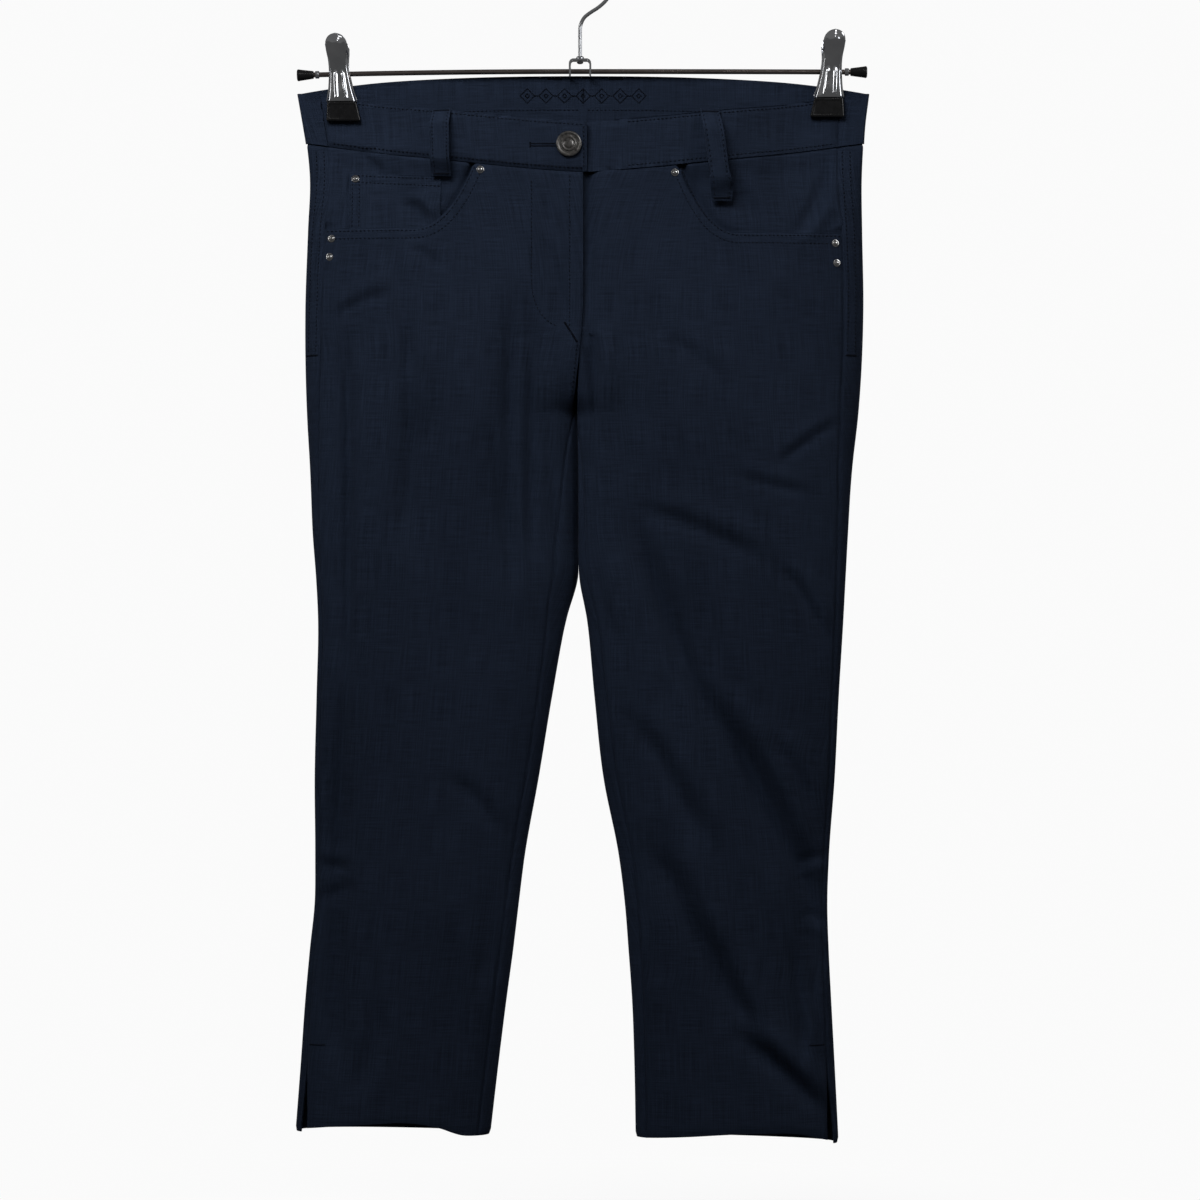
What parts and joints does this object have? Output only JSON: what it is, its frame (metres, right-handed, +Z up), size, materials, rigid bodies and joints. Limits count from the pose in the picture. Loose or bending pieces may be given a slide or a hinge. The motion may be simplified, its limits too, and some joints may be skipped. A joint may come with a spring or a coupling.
{
  "type": "capri pants on a clip hanger",
  "caption": "Navy five-pocket capri pants with belt loops, a metal button and side hem slits, hung by the waistband from a chrome hanger with rubber-jawed clips.",
  "frame": {"origin": "the point inside the top of the hook where it bears on its rail", "axes": "+Z up, the front of the pants faces -Y, +X to the right of someone looking at the front"},
  "size_m": [0.4313, 0.0617, 0.9146],
  "materials": {
    "navy_cloth": "fine ribbed stretch weave, matt with a slight sheen",
    "zip_tape": "woven tape",
    "pewter": "aged pewter",
    "rivet_nickel": "polished nickel",
    "chrome": "polished chrome plate",
    "bar_steel": "dull drawn steel",
    "black_rubber": "moulded black rubber"
  },
  "bodies": {
    "root": {"front_left": "navy_cloth", "front_right": "navy_cloth", "back_left": "navy_cloth", "back_right": "navy_cloth", "pocket_facing_left": "navy_cloth", "pocket_facing_right": "navy_cloth", "coin_pocket": "navy_cloth", "waistband_front_left": "navy_cloth", "waistband_front_right": "navy_cloth", "waistband_back": "navy_cloth", "belt_loop_front_left": "navy_cloth", "belt_loop_front_right": "navy_cloth", "belt_loop_back_left": "navy_cloth", "belt_loop_back_right": "navy_cloth", "zip": "zip_tape", "button": "pewter", "rivet_1": "rivet_nickel", "rivet_2": "rivet_nickel", "rivet_3": "rivet_nickel", "rivet_4": "rivet_nickel", "rivet_5": "rivet_nickel", "rivet_6": "rivet_nickel", "rivet_7": "rivet_nickel", "hook": "chrome", "hook_bracket": "chrome", "hook_collar": "chrome", "hook_knob": "chrome", "clip_left_leaf_front": "chrome", "clip_left_leaf_rear": "chrome", "clip_left_spring": "chrome", "clip_right_leaf_front": "chrome", "clip_right_leaf_rear": "chrome", "clip_right_spring": "chrome", "hanger_bar": "bar_steel", "bar_cap_left": "black_rubber", "bar_cap_right": "black_rubber", "clip_left_pad_front": "black_rubber", "clip_left_pad_rear": "black_rubber", "clip_right_pad_front": "black_rubber", "clip_right_pad_rear": "black_rubber"}
  },
  "joints": []
}
